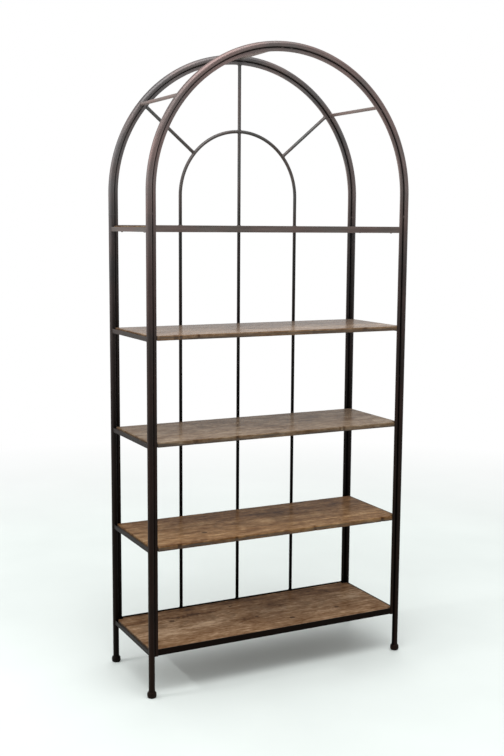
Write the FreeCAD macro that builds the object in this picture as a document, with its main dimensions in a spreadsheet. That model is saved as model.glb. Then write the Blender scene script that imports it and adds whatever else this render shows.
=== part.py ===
import FreeCAD, Part
import Sketcher
import os

# An arched bookshelf. Two tube arches, front and back, are joined by angle-iron frames and side rails
# that carry five boards, by three struts over the top and by a fan of rods in the back arch.
# Millimetres. +Z is up, +X right and +Y to the back. The origin is on the floor under the middle.

sizes = {
    # Posts and arches
    "PostSpacing": 978.7,  # between the axes of the left and right posts, so also the arch's diameter
    "FrameDepth": 349,  # between the axes of the front and back posts
    "ArchStilt": 104.2,  # from the top frame's upper edge to the arches' centre
    "ArchJoint": 35,  # from the top frame's upper edge to the welds where the arches start
    "TubeDiameter": 21.3,
    "TubeWall": 2,
    "BarDepth": 12,  # of the flat bar inside each tube, towards the middle of the arch
    "BarWidth": 6,
    "BarOverhang": 2,  # how far the bars reach below the bottom frame
    "WeldGap": 0.2,  # root gap round each coped or tangent joint
    # Feet
    "FootHeight": 21,
    "FootDiameter": 32,
    "FootBaseDiameter": 25,
    "FootNeckDiameter": 22.3,
    "FootWidestHeight": 10,
    "SpigotLength": 14,
    "SpigotClearance": 0.15,
    # Frames and side rails
    "TopFrameHeight": 1553.8,  # from the floor to the underside of the top frame
    "BottomFrameHeight": 143,
    "ShelfPitch": 351.5,  # from each shelf to the next, counted down from the top frame
    "FrameLeg": 22,
    "FrameThickness": 3,
    "RailHeight": 15,  # of the side rails' upright leg
    "RailWidth": 25,  # of their other leg, which carries the board
    "RailThickness": 3,
    "RootRadius": 2.5,  # inside corner of the angle iron
    "ToeRadius": 1,  # inner edges of its two legs
    "SideOffset": 6,  # of the side rails' outer face beyond the axes of the posts
    "RailEndInset": 7.5,  # of the side rails' square ends from the axes of the posts
    # Boards
    "BoardThickness": 16,
    "BoardClearance": 0.2,  # from the root fillet of the angle iron in front of and behind a board
    "BoardEndGap": 7.75,  # from the side rails' upright leg to each end of a board
    "BoardNotchGap": 3,  # round the posts and bars
    "BoardBackInset": 14.5,  # of the open shelves' back edge from the axes of the back posts
    "BoardArris": 2,
    # Rods
    "RodDiameter": 12,
    "InnerArchRadius": 232,
    "SpokeAngle": 50,  # of the side spokes from straight up
    "StrutAngle": 51,  # of the side struts from straight up
    # Screws
    "ScrewDiameter": 4,
    "ScrewLength": 15,
    "ScrewHeadDiameter": 8,
    "ScrewHeadHeight": 2.4,
    "ScrewHoleClearance": 0.25,
    "ScrewPilotClearance": 0.1,
    "ScrewSpacing": 210,
}

doc = FreeCAD.newDocument("ArchedBookshelf")
sheet = doc.addObject("Spreadsheet::Sheet", "Dims")
for row, (name, size) in enumerate(sizes.items(), start=1):
    sheet.set(f"A{row}", name)
    sheet.set(f"B{row}", str(size))
    sheet.setAlias(f"B{row}", name)
doc.recompute()

# Places that more than one piece follows, as expressions on the sheet
half_span = "Dims.PostSpacing / 2"
half_depth = "Dims.FrameDepth / 2"
top_frame_top = "(Dims.TopFrameHeight + Dims.FrameLeg)"
bottom_frame_top = "(Dims.BottomFrameHeight + Dims.FrameLeg)"
arch_foot = f"({top_frame_top} + Dims.ArchJoint)"
spring_height = f"({top_frame_top} + Dims.ArchStilt)"
tube_radius = "Dims.TubeDiameter / 2"
rod_radius = "Dims.RodDiameter / 2"
bar_outside = "(Dims.PostSpacing / 2 - Dims.TubeDiameter / 2 - Dims.WeldGap)"
bar_inside = f"({bar_outside} - Dims.BarDepth)"
bar_end = "(Dims.BottomFrameHeight - Dims.BarOverhang)"
side_face = "(Dims.PostSpacing / 2 + Dims.SideOffset)"
front_face = "(Dims.FrameDepth / 2 + Dims.BarWidth / 2)"
frame_heights = {"top": "Dims.TopFrameHeight", "bottom": "Dims.BottomFrameHeight"}
top_underside = "Dims.TopFrameHeight + Dims.FrameThickness"
undersides = {
    "top": f"({top_underside})",
    "upper": f"({top_underside} - Dims.ShelfPitch)",
    "middle": f"({top_underside} - 2 * Dims.ShelfPitch)",
    "lower": f"({top_underside} - 3 * Dims.ShelfPitch)",
    "bottom": "(Dims.BottomFrameHeight + Dims.FrameThickness)",
}
bearing_middle = "((Dims.RailThickness + Dims.BoardEndGap + Dims.RailWidth) / 2)"
screw_place = "Dims.ScrewSpacing / 2"

nodes = []
upright = FreeCAD.Vector(0, 0, 1)
same_place = 1e-4  # two coordinates closer than this are the same
side_signs = {"left": "-1", "right": "1"}
row_signs = {"front": "-1", "back": "1"}


def value(expression):
    """The number that an expression on the sheet gives."""
    return float(sheet.evalExpression(expression))


def place(piece, x="0", y="0", z="0"):
    """Ties the place of a piece to three expressions."""
    for axis, expression in zip("xyz", (x, y, z)):
        piece.setExpression(f"Placement.Base.{axis}", expression)


def keep(piece, label):
    """Names a finished piece and lists it for export."""
    piece.Label = label
    nodes.append(piece)
    return piece


def new_body(label, turned=False):
    """An empty body for one piece, turned half round the vertical if asked."""
    body = keep(doc.addObject("PartDesign::Body", label), label)
    if turned:
        body.Placement.Rotation = FreeCAD.Rotation(upright, 180)
    return body


def new_sketch(body, name, plane, lift="0"):
    """A sketch on one of the body's origin planes, lifted off it along its normal."""
    sketch = body.newObject("Sketcher::SketchObject", f"{body.Name}_{name}")
    support = next(part for part in body.Origin.OriginFeatures if part.Role == plane)
    sketch.AttachmentSupport = (support, [""])
    sketch.MapMode = "FlatFace"
    sketch.setExpression("AttachmentOffset.Base.z", lift)
    return sketch


def tie(sketch, constraint, expression):
    """Adds a constraint whose size follows an expression."""
    number = sketch.addConstraint(constraint)
    sketch.setExpression(f"Constraints[{number}]", expression)


def tie_point(sketch, curve, point, x, y):
    """Ties a point of a curve to two expressions, measured from the sketch's origin."""
    tie(sketch, Sketcher.Constraint("DistanceX", -1, 1, curve, point, value(x)), x)
    tie(sketch, Sketcher.Constraint("DistanceY", -1, 1, curve, point, value(y)), y)


def add_circle(sketch, x, y, radius):
    """A circle tied to its centre and radius."""
    centre = FreeCAD.Vector(value(x), value(y), 0)
    curve = sketch.addGeometry(Part.Circle(centre, upright, value(radius)), False)
    tie_point(sketch, curve, 3, x, y)
    tie(sketch, Sketcher.Constraint("Radius", curve, value(radius)), radius)


def add_outline(sketch, corners):
    """Straight lines that close through corners, each a pair of expressions."""
    points = [FreeCAD.Vector(value(x), value(y), 0) for x, y in corners]
    for start, end in zip(points, points[1:] + points[:1]):
        sketch.addGeometry(Part.LineSegment(start, end), False)
    for number, (x, y) in enumerate(corners):
        previous = (number - 1) % len(corners)
        sketch.addConstraint(Sketcher.Constraint("Coincident", previous, 2, number, 1))
        tie_point(sketch, number, 1, x, y)


def pad(body, sketch, length, symmetric=False):
    """A pad of a sketch, up from it or half to each side."""
    feature = body.newObject("PartDesign::Pad", f"{sketch.Name}_pad")
    feature.Profile = sketch
    feature.Midplane = symmetric
    feature.setExpression("Length", length)
    return feature


def cut_through(body, sketch):
    """A pocket of a sketch right through the body, both ways."""
    feature = body.newObject("PartDesign::Pocket", f"{sketch.Name}_cut")
    feature.Profile = sketch
    feature.Type = "ThroughAll"
    feature.Midplane = True
    return feature


def revolve(body, sketch, angle, reverse=False):
    """A revolution of a sketch about its own vertical axis."""
    feature = body.newObject("PartDesign::Revolution", f"{sketch.Name}_turn")
    feature.Profile = sketch
    feature.ReferenceAxis = (sketch, ["V_Axis"])
    feature.Angle = angle
    feature.Reversed = reverse
    return feature


def round_edges(body, base, wanted, radius):
    """A fillet on the edges of a feature that pass a test."""
    doc.recompute()
    names = [f"Edge{n}" for n, edge in enumerate(base.Shape.Edges, start=1) if wanted(edge)]
    feature = body.newObject("PartDesign::Fillet", f"{base.Name}_round")
    feature.Base = (base, names)
    feature.setExpression("Radius", radius)
    return feature


def runs_along(edge, axis):
    """Whether an edge is a straight line along an axis."""
    return edge.Curve.TypeId == "Part::GeomLine" and edge.Curve.Direction.cross(axis).Length < same_place


def sits_at(edge, x=None, y=None, z=None):
    """Whether the middle of an edge has the given coordinates, those that are given."""
    middle = edge.CenterOfMass
    pairs = ((middle.x, x), (middle.y, y), (middle.z, z))
    return all(wanted is None or abs(found - wanted) < same_place for found, wanted in pairs)


def add_tube_section(sketch, side):
    """The tube's two circles, about a post's axis."""
    axis = f"{side_signs[side]} * {half_span}"
    add_circle(sketch, axis, "0", tube_radius)
    add_circle(sketch, axis, "0", f"{tube_radius} - Dims.TubeWall")


def add_bar_section(sketch, side):
    """The flat bar's rectangle, on the inner side of a post, with its wide faces to the front and back."""
    sign = side_signs[side]
    add_outline(
        sketch,
        [
            (f"{sign} * {bar_outside}", "-Dims.BarWidth / 2"),
            (f"{sign} * {bar_inside}", "-Dims.BarWidth / 2"),
            (f"{sign} * {bar_inside}", "Dims.BarWidth / 2"),
            (f"{sign} * {bar_outside}", "Dims.BarWidth / 2"),
        ],
    )


def make_upright(label, row, side, add_section, lower_end):
    """A straight tube or bar, from its lower end up to the weld under the arch."""
    body = new_body(label)
    place(body, y=f"{row_signs[row]} * {half_depth}")
    section = new_sketch(body, "section", "XY_Plane", lower_end)
    add_section(section, side)
    pad(body, section, f"{arch_foot} - {lower_end}")


def make_half_arch(label, row, side, add_section):
    """A bent tube or bar: a quarter turn about the arch's centre, on a short straight length."""
    body = new_body(label)
    place(body, y=f"{row_signs[row]} * {half_depth}")
    bend_section = new_sketch(body, "bend_section", "XY_Plane", spring_height)
    foot_section = new_sketch(body, "foot_section", "XY_Plane", arch_foot)
    for sketch in (bend_section, foot_section):
        add_section(sketch, side)
    revolve(body, bend_section, 90, reverse=side == "right")
    pad(body, foot_section, "Dims.ArchStilt - Dims.ArchJoint")


def make_foot(row, side):
    """Turned foot: a bun of two arcs that meet at its widest, flat below, with a spigot for the tube."""
    body = new_body(f"{row}_{side}_foot")
    place(body, f"{side_signs[side]} * {half_span}", f"{row_signs[row]} * {half_depth}")
    spigot = "(Dims.TubeDiameter / 2 - Dims.TubeWall - Dims.SpigotClearance)"
    top = "(Dims.FootHeight + Dims.SpigotLength)"
    corners = {
        "base_middle": ("0", "0"),
        "base_edge": ("Dims.FootBaseDiameter / 2", "0"),
        "widest": ("Dims.FootDiameter / 2", "Dims.FootWidestHeight"),
        "neck": ("Dims.FootNeckDiameter / 2", "Dims.FootHeight"),
        "spigot_foot": (spigot, "Dims.FootHeight"),
        "spigot_edge": (spigot, top),
        "spigot_middle": ("0", top),
    }
    sketch = new_sketch(body, "profile", "XZ_Plane")
    points = {name: FreeCAD.Vector(value(x), value(y), 0) for name, (x, y) in corners.items()}
    names = list(corners)
    for start, end in zip(names, names[1:] + names[:1]):
        if "widest" in (start, end):
            far = points["widest"]
            near = points[end if start == "widest" else start]
            # the centre is level with the widest point, as far from it as from the other end
            run, rise = far.x - near.x, far.y - near.y
            radius = (run * run + rise * rise) / (2 * run)
            centre = FreeCAD.Vector(far.x - radius, far.y, 0)
            ring = Part.Circle(centre, upright, radius)
            from_angle, to_angle = (ring.parameter(points[name]) for name in (start, end))
            sketch.addGeometry(Part.ArcOfCircle(ring, from_angle, to_angle), False)
        else:
            sketch.addGeometry(Part.LineSegment(points[start], points[end]), False)
    for number, name in enumerate(names):
        sketch.addConstraint(Sketcher.Constraint("Coincident", (number - 1) % len(names), 2, number, 1))
        tie_point(sketch, number, 1, *corners[name])
    for number, (start, end) in enumerate(zip(names, names[1:] + names[:1])):
        if "widest" in (start, end):
            constraint = Sketcher.Constraint("DistanceY", -1, 1, number, 3, points["widest"].y)
            tie(sketch, constraint, "Dims.FootWidestHeight")
    revolve(body, sketch, 360)


def add_angle_section(sketch, width, height, thickness):
    """Angle iron with its outer corner at the origin, one leg along and one up."""
    add_outline(
        sketch,
        [
            ("0", "0"),
            (width, "0"),
            (width, thickness),
            (thickness, thickness),
            (thickness, height),
            ("0", height),
        ],
    )


def round_angle(body, section_pad, along, width, height, thickness):
    """Rolled corners: the root between the legs and the inner edge of each toe."""
    thick, wide, tall = value(thickness), value(width), value(height)
    across = "y" if along.x else "x"

    def at_root(edge):
        return runs_along(edge, along) and sits_at(edge, **{across: thick}, z=thick)

    def at_toe(edge):
        found = sits_at(edge, **{across: wide}, z=thick) or sits_at(edge, **{across: thick}, z=tall)
        return runs_along(edge, along) and found

    root = round_edges(body, section_pad, at_root, "Dims.RootRadius")
    return round_edges(body, root, at_toe, "Dims.ToeRadius")


def make_frame_rail(level, row):
    """Front or back of a frame: angle iron between the bars, one leg up and one towards the middle."""
    body = new_body(f"{level}_{row}_rail", turned=row == "back")
    place(body, y=f"{row_signs[row]} * {front_face}", z=frame_heights[level])
    section = new_sketch(body, "section", "YZ_Plane")
    legs = ("Dims.FrameLeg", "Dims.FrameLeg", "Dims.FrameThickness")
    add_angle_section(section, *legs)
    length = pad(body, section, f"2 * {bar_inside}", symmetric=True)
    round_angle(body, length, FreeCAD.Vector(1, 0, 0), *legs)


def make_side_rail(level, side):
    """Side rail: angle iron from post to post, coped round both, with two screw holes in the lower leg."""
    body = new_body(f"{level}_{side}_rail", turned=side == "right")
    place(body, f"{side_signs[side]} * {side_face}", z=f"{undersides[level]} - Dims.RailThickness")
    section = new_sketch(body, "section", "XZ_Plane")
    legs = ("Dims.RailWidth", "Dims.RailHeight", "Dims.RailThickness")
    add_angle_section(section, *legs)
    length = pad(body, section, "Dims.FrameDepth - 2 * Dims.RailEndInset", symmetric=True)
    round_angle(body, length, FreeCAD.Vector(0, 1, 0), *legs)
    copes = new_sketch(body, "copes", "XY_Plane")
    add_circle(copes, "Dims.SideOffset", half_depth, f"{tube_radius} + Dims.WeldGap")
    add_circle(copes, "Dims.SideOffset", f"-{half_depth}", f"{tube_radius} + Dims.WeldGap")
    cut_through(body, copes)
    holes = new_sketch(body, "screw_holes", "XY_Plane")
    hole_radius = "Dims.ScrewDiameter / 2 + Dims.ScrewHoleClearance"
    add_circle(holes, bearing_middle, screw_place, hole_radius)
    add_circle(holes, bearing_middle, f"-{screw_place}", hole_radius)
    cut_through(body, holes)


def make_board(level, outline):
    """Board: a padded outline with pilot holes from below and softened long top edges."""
    label = f"{level}_board"
    body = new_body(label)
    place(body, z=undersides[level])
    shape = new_sketch(body, "outline", "XY_Plane")
    add_outline(shape, outline)
    plank = pad(body, shape, "Dims.BoardThickness")
    thick = value("Dims.BoardThickness")
    lengthwise = FreeCAD.Vector(1, 0, 0)

    def at_arris(edge):
        return runs_along(edge, lengthwise) and sits_at(edge, x=0, z=thick)

    round_edges(body, plank, at_arris, "Dims.BoardArris")
    pilots = new_sketch(body, "pilot_holes", "XY_Plane")
    for side in side_signs.values():
        for row in row_signs.values():
            add_circle(
                pilots,
                f"{side} * {screw_line}",
                f"{row} * {screw_place}",
                "Dims.ScrewDiameter / 2 + Dims.ScrewPilotClearance",
            )
    holes = body.newObject("PartDesign::Pocket", f"{label}_pilots")
    holes.Profile = pilots
    holes.Reversed = True
    holes.setExpression("Length", "Dims.ScrewLength - Dims.RailThickness + Dims.ScrewPilotClearance")


def make_rod(label, x, y, z, length):
    """A straight upright rod."""
    rod = doc.addObject("Part::Cylinder", label)
    place(rod, x, y, z)
    rod.setExpression("Radius", rod_radius)
    rod.setExpression("Height", length)
    return rod


def make_ring(label, y, ring_radius, section_radius):
    """An upper half torus about the arches' centre line, which copes what meets a bent tube or rod."""
    ring = doc.addObject("Part::Torus", label)
    ring.Placement.Rotation = FreeCAD.Rotation(FreeCAD.Vector(1, 0, 0), 90)
    place(ring, y=y, z=spring_height)
    ring.Angle3 = 180
    ring.setExpression("Radius1", ring_radius)
    ring.setExpression("Radius2", section_radius)
    return ring


def cope(rod, rings, label):
    """The rod with its ends cut to the rings."""
    for ring in rings:
        piece = doc.addObject("Part::Cut", f"{label}_{ring.Name}")
        piece.Base = rod
        piece.Tool = ring
        rod = piece
    return keep(rod, label)


for row in row_signs:
    for side in side_signs:
        corner = f"{row}_{side}"
        make_upright(f"{corner}_post", row, side, add_tube_section, "Dims.FootHeight")
        make_upright(f"{corner}_post_bar", row, side, add_bar_section, bar_end)
        make_half_arch(f"{corner}_arch", row, side, add_tube_section)
        make_half_arch(f"{corner}_arch_bar", row, side, add_bar_section)
        make_foot(row, side)

for level in frame_heights:
    for row in row_signs:
        make_frame_rail(level, row)
for level in undersides:
    for side in side_signs:
        make_side_rail(level, side)

# Board outlines, anticlockwise. Every corner that meets a post is notched round the post and its bar.
board_end = f"({side_face} - Dims.RailThickness - Dims.BoardEndGap)"
notch_side = f"({bar_inside} - Dims.BoardNotchGap)"
notch_row = f"({half_depth} - {tube_radius} - Dims.BoardNotchGap)"
framed_row = f"({front_face} - Dims.FrameThickness - Dims.RootRadius - Dims.BoardClearance)"
shelf_back = f"({half_depth} - Dims.BoardBackInset)"
framed_outline = [
    (f"-{notch_side}", f"-{framed_row}"),
    (notch_side, f"-{framed_row}"),
    (notch_side, f"-{notch_row}"),
    (board_end, f"-{notch_row}"),
    (board_end, notch_row),
    (notch_side, notch_row),
    (notch_side, framed_row),
    (f"-{notch_side}", framed_row),
    (f"-{notch_side}", notch_row),
    (f"-{board_end}", notch_row),
    (f"-{board_end}", f"-{notch_row}"),
    (f"-{notch_side}", f"-{notch_row}"),
]
shelf_outline = [
    (f"-{notch_side}", f"-{front_face}"),
    (notch_side, f"-{front_face}"),
    (notch_side, f"-{notch_row}"),
    (board_end, f"-{notch_row}"),
    (board_end, shelf_back),
    (f"-{board_end}", shelf_back),
    (f"-{board_end}", f"-{notch_row}"),
    (f"-{notch_side}", f"-{notch_row}"),
]
screw_line = f"({side_face} - {bearing_middle})"
for level in undersides:
    make_board(level, framed_outline if level in frame_heights else shelf_outline)

# Small arch: half a torus on two legs that stand on the top back rail
inner_arch = new_body("inner_arch_rod")
place(inner_arch, y=half_depth)
arch_section = new_sketch(inner_arch, "bend_section", "XY_Plane", spring_height)
add_circle(arch_section, "-Dims.InnerArchRadius", "0", rod_radius)
revolve(inner_arch, arch_section, 180)
leg_section = new_sketch(inner_arch, "leg_section", "XY_Plane", top_frame_top)
add_circle(leg_section, "-Dims.InnerArchRadius", "0", rod_radius)
add_circle(leg_section, "Dims.InnerArchRadius", "0", rod_radius)
pad(inner_arch, leg_section, "Dims.ArchStilt")

inner_ring = make_ring("inner_ring", half_depth, "Dims.InnerArchRadius", f"{rod_radius} + Dims.WeldGap")
tube_rings = [
    make_ring(f"{row}_ring", f"{sign} * {half_depth}", half_span, f"{tube_radius} + Dims.WeldGap")
    for row, sign in row_signs.items()
]

apex_height = "Dims.ArchStilt + Dims.InnerArchRadius"
cope(make_rod("centre_upright", "0", half_depth, top_frame_top, apex_height), [inner_ring], "centre_arch_rod")

fan_signs = {"left": "-1", "centre": "0", "right": "1"}
for side, sign in fan_signs.items():
    angle = f"{sign} * Dims.SpokeAngle"
    spoke = make_rod(
        f"{side}_spoke_rod",
        f"Dims.InnerArchRadius * sin({angle})",
        half_depth,
        f"{spring_height} + Dims.InnerArchRadius * cos({angle})",
        f"{bar_inside} - Dims.WeldGap - Dims.InnerArchRadius",
    )
    spoke.Placement.Rotation = FreeCAD.Rotation(FreeCAD.Vector(0, 1, 0), value(angle))
    cope(spoke, [inner_ring], f"{side}_spoke")

    back_height = f"Dims.TopFrameHeight - {bottom_frame_top}"
    back_rod = make_rod(
        f"{side}_back_rod", f"{sign} * Dims.InnerArchRadius", half_depth, bottom_frame_top, back_height
    )
    keep(back_rod, f"{side}_back_rod")

    strut_angle = f"{sign} * Dims.StrutAngle"
    strut = make_rod(
        f"{side}_strut_rod",
        f"{half_span} * sin({strut_angle})",
        f"-{half_depth}",
        f"{spring_height} + {half_span} * cos({strut_angle})",
        "Dims.FrameDepth",
    )
    strut.Placement.Rotation = FreeCAD.Rotation(FreeCAD.Vector(1, 0, 0), -90)
    cope(strut, tube_rings, "top_strut" if side == "centre" else f"{side}_strut")

# One pan-head screw, linked to each of its places under the side rails
screw = doc.addObject("PartDesign::Body", "screw")
screw_profile = new_sketch(screw, "profile", "XZ_Plane")
add_outline(
    screw_profile,
    [
        ("0", "-Dims.ScrewHeadHeight"),
        ("Dims.ScrewHeadDiameter / 2 - Dims.ScrewHeadHeight / 4", "-Dims.ScrewHeadHeight"),
        ("Dims.ScrewHeadDiameter / 2", "-Dims.ScrewHeadHeight / 2"),
        ("Dims.ScrewHeadDiameter / 2", "0"),
        ("Dims.ScrewDiameter / 2", "0"),
        ("Dims.ScrewDiameter / 2", "Dims.ScrewLength - Dims.ScrewDiameter / 2"),
        ("0", "Dims.ScrewLength"),
    ],
)
revolve(screw, screw_profile, 360)
screw_links = []
for underside in undersides.values():
    head_height = f"{underside} - Dims.RailThickness"
    for side in side_signs.values():
        for row in row_signs.values():
            link = doc.addObject("App::Link", f"screw_{len(screw_links)}")
            link.LinkedObject = screw
            place(link, f"{side} * {screw_line}", f"{row} * {screw_place}", head_height)
            screw_links.append(link)
screws = doc.addObject("Part::Compound", "board_screws")
screws.Links = screw_links
keep(screws, "board_screws")

doc.recompute()
for thing in doc.Objects:
    if "Invalid" in thing.State or "Error" in thing.State:
        raise RuntimeError(f"{thing.Label} could not be built: {thing.State}")

os.makedirs("parts", exist_ok=True)
for piece in nodes:
    shape = piece.Shape
    if shape.isNull() or not shape.isValid():
        raise RuntimeError(f"{piece.Label} has no valid shape")
    shape.exportStep(f"parts/{piece.Label}.step")
    print(f"{piece.Label}: {len(shape.Solids)} solid, {shape.Volume:.0f} mm3")
print(f"{len(nodes)} nodes")
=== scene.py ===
import bpy
import numpy as np
from functools import partial
from mathutils import Matrix, Vector


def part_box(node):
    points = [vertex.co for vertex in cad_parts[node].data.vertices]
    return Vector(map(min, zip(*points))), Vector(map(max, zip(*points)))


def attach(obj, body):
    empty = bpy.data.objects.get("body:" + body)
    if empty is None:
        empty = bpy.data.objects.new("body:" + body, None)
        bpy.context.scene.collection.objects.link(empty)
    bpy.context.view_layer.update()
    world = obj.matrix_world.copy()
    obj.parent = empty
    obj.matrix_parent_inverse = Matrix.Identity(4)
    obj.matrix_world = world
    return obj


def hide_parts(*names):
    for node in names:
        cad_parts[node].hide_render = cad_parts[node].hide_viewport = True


# Arched bookshelf: patinated iron tube arches, angle-iron rails and reclaimed boards, dressed round the
# frame. Metres, as in the frame: +Z up, +X right, +Y to the back where the rods are.

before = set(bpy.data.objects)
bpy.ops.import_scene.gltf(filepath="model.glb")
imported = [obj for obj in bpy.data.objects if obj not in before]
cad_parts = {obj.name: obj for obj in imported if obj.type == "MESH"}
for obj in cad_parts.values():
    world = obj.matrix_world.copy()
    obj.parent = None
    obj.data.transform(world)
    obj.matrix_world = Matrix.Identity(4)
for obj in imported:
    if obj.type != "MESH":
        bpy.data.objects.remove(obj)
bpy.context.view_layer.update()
mm = 0.001
print("frame loaded:", len(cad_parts), "nodes")


def nodeBox(name):
    return tuple(np.array(corner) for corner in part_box(name))


def addObject(name, data):
    thing = bpy.data.objects.new(name, data)
    bpy.context.scene.collection.objects.link(thing)
    return thing


# Measures that the frame gives
postLow, postHigh = nodeBox("front_left_post")
tubeRadius = (postHigh[0] - postLow[0]) / 2
halfSpan = -(postLow[0] + postHigh[0]) / 2
halfDepth = -(postLow[1] + postHigh[1]) / 2
footTop, archFoot = postLow[2], postHigh[2]
springHeight = nodeBox("front_left_arch")[1][2] - tubeRadius - halfSpan
barLow, barHigh = nodeBox("front_left_post_bar")
barOutside, barInside, barBottom = -barLow[0], -barHigh[0], barLow[2]
barWidth = barHigh[1] - barLow[1]
weldGap = halfSpan - tubeRadius - barOutside
copeRadius = tubeRadius + weldGap
rodLow, rodHigh = nodeBox("left_back_rod")
rodRadius = (rodHigh[0] - rodLow[0]) / 2
innerRadius = -(rodLow[0] + rodHigh[0]) / 2
topFrameLow, topFrameTop = (corner[2] for corner in nodeBox("top_front_rail"))
bottomFrameTop = nodeBox("bottom_front_rail")[1][2]
sideFace = -nodeBox("top_left_rail")[0][0]
frontFace = -nodeBox("top_front_rail")[0][1]

sides = {"left": -1, "right": 1}
rows = {"front": -1, "back": 1}
corners = [(*row, *side) for row in rows.items() for side in sides.items()]
shelves = ("top", "upper", "middle", "lower", "bottom")
backward = np.array([0.0, 1, 0])
poleRadius = 0.01 * mm  # of the tiny ring that closes a turned piece on its axis


# sRGB hex to linear: a channel c becomes c / 12.92, or ((c + 0.055) / 1.055) to the power 2.4 above 0.04045
def linearColour(code):
    srgb = np.array([int(code[start:start + 2], 16) for start in (1, 3, 5)]) / 255
    linear = np.where(srgb > 0.04045, ((srgb + 0.055) / 1.055) ** 2.4, srgb / 12.92)
    return (*linear.tolist(), 1.0)


# Adds one node. A setting is a property, a colour ramp's stops or an input's value, and a tuple is the values
# of the second input and on, as a Map Range's ends. A link is an output, or a node for its first one in use.
def addNode(tree, kind, settings=(), links=()):
    node = tree.nodes.new("ShaderNode" + kind)
    for key, setting in enumerate(settings, 1) if isinstance(settings, tuple) else settings.items():
        if key == "stops":
            ramp = node.color_ramp.elements
            while len(ramp) < len(setting):
                ramp.new(1.0)
            for stop, (position, colour) in zip(ramp, setting):
                stop.position, stop.color = position, colour
        elif isinstance(key, str) and hasattr(node, key):
            setattr(node, key, setting)
        else:
            node.inputs[key].default_value = setting
    for key, source in dict(links).items():
        if isinstance(source, bpy.types.Node):
            source = next(output for output in source.outputs if output.enabled)
        tree.links.new(source, node.inputs[key])
    return node


# A new material's or world's cleared nodes, with addNode bound to them
def emptyTree(owner):
    owner.use_nodes = True
    owner.node_tree.nodes.clear()
    return owner, partial(addNode, owner.node_tree)


white = (1, 1, 1, 1)
blend = {"data_type": "RGBA"}
multiply = {"data_type": "RGBA", "blend_type": "MULTIPLY", 0: 1.0}
smooth = {"interpolation_type": "SMOOTHSTEP"}
product, larger = {"operation": "MULTIPLY"}, {"operation": "MAXIMUM"}

# Four numbers are the noise that a range runs from and to, and what it gives there; two of them give 0 and 1
ironLook = {
    "front": ("#7f6e6b", "#726a68", "#524942"),  # reddish brown, its greyer drift, and the painted shade that it is multiplied by at the floor
    "back": ("#756b69", "#6a6767", "#46413d"), "rod": ("#645e5c", "#5b5b5a", "#28211e"),
    "rail": ("#8d7c77", "#857d78", "#2c241f"), "patchSize": 140 * mm, "drift": (0.4, 0.6),
    "streakSize": (9 * mm, 120 * mm),  # across and along the steel
    "streakTone": (0.3, 0.7, 0.85, 1.15), "roughness": (0.3, 0.7, 0.5, 0.58),
    "rubbed": "#b3a49c",  # thinner patina on corners and in nicks
    "rubbing": (0.35, 0.75, 0.05, 0.5), "nickSize": 7 * mm, "nicks": (0.79, 0.83, 0, 0.6),
    "shadeTopHeight": 1.72,  # metres; below it, painted shade darkens the steel
    "shadeFalloff": 25,  # below it the unshaded share falls this many times with each metre, a painted shade for light that falls off towards the floor
    "darkBand": (0, 1, 1, 0.12),  # painted shade in the groove between tube and bar: the tone left there
    "relief": {"Strength": 0.5, "Distance": 0.05 * mm},
}


# Hot-rolled mild steel, chemically browned and waxed: a dark satin that drifts between two tones, with
# painted shade that deepens it towards the floor, faint streaks along it, a few nicks, corners rubbed paler
# and painted shade in the groove between tube and bar
def patinatedIron(name):
    look = ironLook
    warm, cool, floorShade = look[name]
    material, add = emptyTree(bpy.data.materials.new(f"patinated_iron_{name}"))
    place = add("TexCoord").outputs["Object"]
    height = add("SeparateXYZ", {}, {0: place}).outputs["Z"]
    wear, crevice = (
        add("Attribute", {"attribute_name": label}).outputs["Fac"] for label in ("wear", "crevice")
    )
    across, along = look["streakSize"]
    flow = add("UVMap", {"uv_map": "flow"})
    flow = add("Mapping", {"Scale": (1 / across, 1 / along, 1)}, {"Vector": flow})
    streaks = add("TexNoise", {"Scale": 1, "Detail": 3}, {"Vector": flow})
    patches = add("TexNoise", {"Scale": 1 / look["patchSize"], "Detail": 3}, {"Vector": place})
    nicks = add("TexNoise", {"Scale": 1 / look["nickSize"], "Detail": 1}, {"Vector": place})
    drift = add("MapRange", look["drift"], {0: patches})
    colour = add("Mix", {**blend, 6: linearColour(warm), 7: linearColour(cool)}, {0: drift})
    rubbing = add("MapRange", look["rubbing"], {0: streaks})
    rubbed = add("Math", product, {0: rubbing, 1: wear})
    nicked = add("MapRange", look["nicks"], {0: nicks})
    bare = add("Math", larger, {0: rubbed, 1: nicked})
    colour = add("Mix", {**blend, 7: linearColour(look["rubbed"])}, {0: bare, 6: colour})
    streaked = add("MapRange", look["streakTone"], {0: streaks})
    # painted shade in the groove between tube and bar
    darkBand = add("MapRange", look["darkBand"], {0: crevice})
    shade = add("Math", product, {0: streaked, 1: darkBand})
    colour = add("Mix", multiply, {6: colour, 7: shade})
    # Painted shade: below a height the colour is multiplied down towards the floor colour, for light that
    # falls off lower down
    drop = add("Math", {"operation": "SUBTRACT", 1: look["shadeTopHeight"]}, {0: height})
    drop = add("Math", {"operation": "MINIMUM", 1: 0}, {0: drop})
    unshadedShare = add("Math", {"operation": "POWER", 0: look["shadeFalloff"]}, {1: drop})
    paintedFloorShade = add("Mix", {**blend, 6: linearColour(floorShade), 7: white}, {0: unshadedShare})
    colour = add("Mix", multiply, {6: colour, 7: paintedFloorShade})
    rough = add("MapRange", look["roughness"], {0: streaks})
    bump = add("Bump", look["relief"], {"Height": streaks})
    finish = {"Base Color": colour, "Roughness": rough, "Normal": bump}
    shader = add("BsdfPrincipled", {"Metallic": 1}, finish)
    add("OutputMaterial", {}, {"Surface": shader})
    return material


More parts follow.
